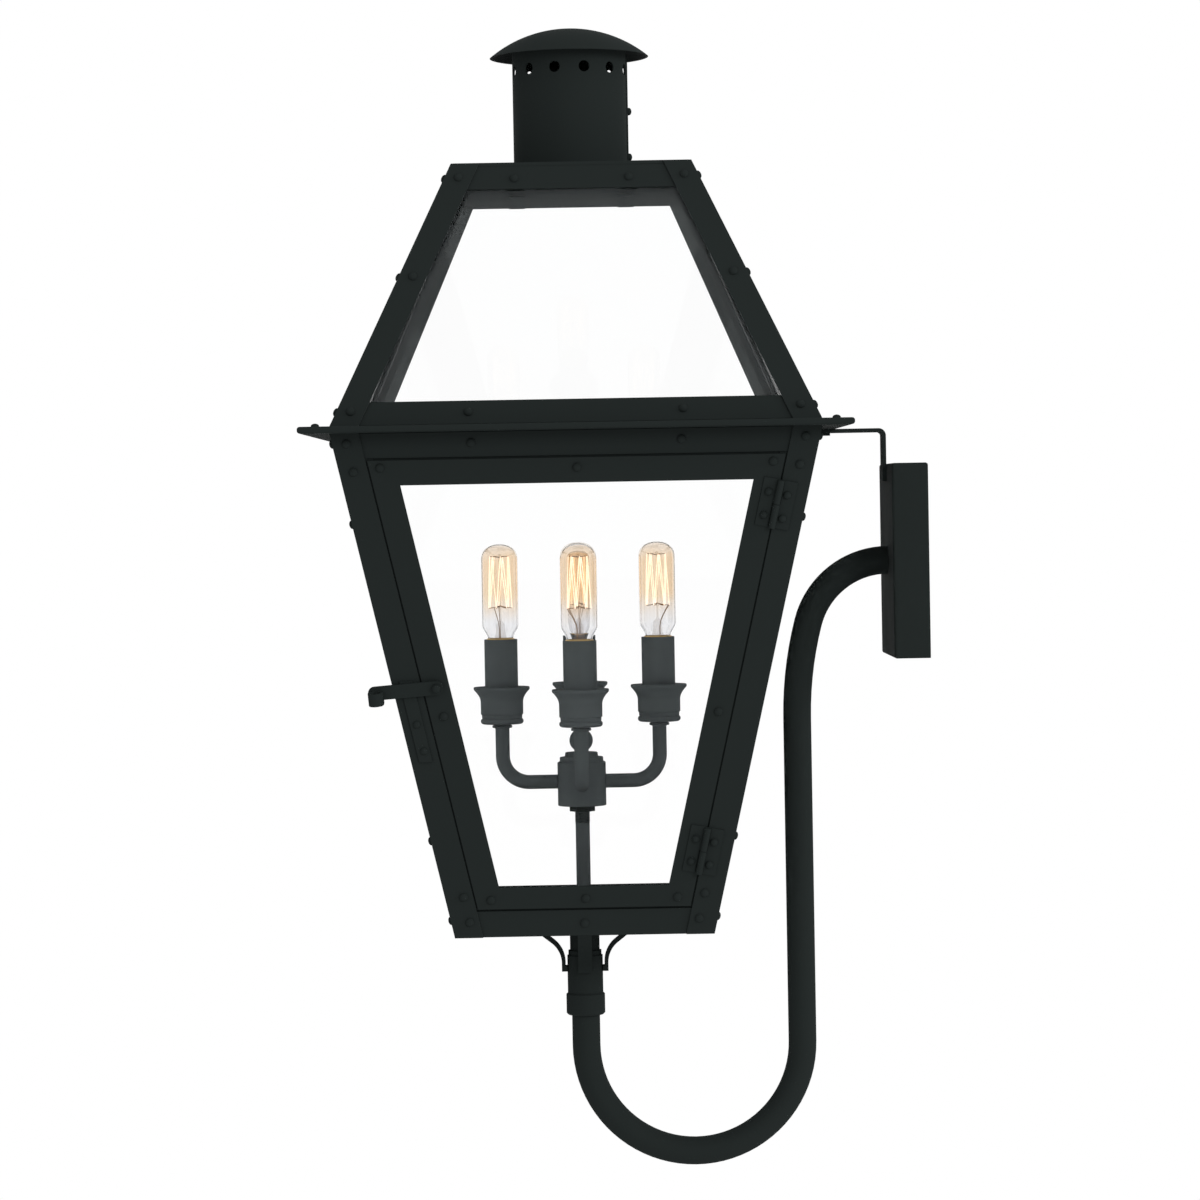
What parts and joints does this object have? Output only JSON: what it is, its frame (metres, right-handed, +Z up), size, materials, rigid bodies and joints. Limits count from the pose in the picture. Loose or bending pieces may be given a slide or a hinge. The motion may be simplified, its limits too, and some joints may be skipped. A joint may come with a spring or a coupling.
{
  "type": "outdoor wall lantern",
  "caption": "Gas-style outdoor wall lantern: tapered glazed cage with a hinged door, hipped glass roof, vented chimney, candle cluster and a bent tube arm on a wall plate.",
  "frame": {"origin": "middle of the mounting bar's back face, in the plane of the wall", "axes": "+X into the wall, -Y towards the side with the door, +Z up"},
  "size_m": [0.413, 0.356, 0.7761],
  "materials": {
    "black_iron": "matte powder coat",
    "clear_glass": "clear sheet",
    "bulb_glass": "amber tint",
    "brass_base": "satin",
    "holder_plastic": "moulded",
    "zinc_steel": "zinc plated",
    "candle_black": "matte"
  },
  "bodies": {
    "lantern": {"arm_lock_nut": "zinc_steel", "arm_sleeve": "black_iron", "bottom_pan": "black_iron", "bulb_bases": "brass_base", "bulb_glasses": "bulb_glass", "bulb_stems": "bulb_glass", "cage_glass_clips": "black_iron", "cage_pane_back": "clear_glass", "cage_pane_left": "clear_glass", "cage_pane_right": "clear_glass", "cage_post_back_left": "black_iron", "cage_post_back_right": "black_iron", "cage_post_front_left": "black_iron", "cage_post_front_right": "black_iron", "cage_rails": "black_iron", "candle_arms": "black_iron", "candle_cups": "black_iron", "candle_sleeves": "candle_black", "chimney": "black_iron", "chimney_cap": "black_iron", "cluster_hub": "black_iron", "cluster_stem": "black_iron", "coupling_ring": "black_iron", "eave_plate": "black_iron", "fixing_screws": "black_iron", "gooseneck_arm": "black_iron", "hanger_strap": "black_iron", "hub_finial": "black_iron", "lampholders": "holder_plastic", "latch_keeper": "black_iron", "lower_hinge_pin": "black_iron", "lower_hinge_post_leaf": "black_iron", "mounting_bar": "zinc_steel", "neck_braces": "black_iron", "neck_tube": "black_iron", "roof_glass_clips": "black_iron", "roof_pane_back": "clear_glass", "roof_pane_front": "clear_glass", "roof_pane_left": "clear_glass", "roof_pane_right": "clear_glass", "roof_post_back_left": "black_iron", "roof_post_back_right": "black_iron", "roof_post_front_left": "black_iron", "roof_post_front_right": "black_iron", "roof_rails": "black_iron", "roof_top_plate": "black_iron", "stem_nut": "black_iron", "upper_hinge_pin": "black_iron", "upper_hinge_post_leaf": "black_iron", "wall_plate": "black_iron"},
    "door": {"door_top_rail": "black_iron", "door_bottom_rail": "black_iron", "door_left_stile": "black_iron", "door_right_stile": "black_iron", "door_pane": "clear_glass", "door_glass_clips": "black_iron", "upper_hinge_door_leaf": "black_iron", "lower_hinge_door_leaf": "black_iron", "latch_pivot": "black_iron"},
    "latch": {"latch_bar": "black_iron"}
  },
  "joints": [
    {"name": "door_hinge", "type": "hinge", "parent": "lantern", "child": "door", "pos_m": [-0.10661, -0.15018, 0.03936], "axis": [0.2075, -0.2075, 0.956], "range_deg": [0, 110]},
    {"name": "latch_turn", "type": "hinge", "parent": "door", "child": "latch", "pos_m": [-0.32903, -0.12258, -0.0758], "axis": [0, 0.9772, 0.2121], "range_deg": [0, 75]}
  ]
}
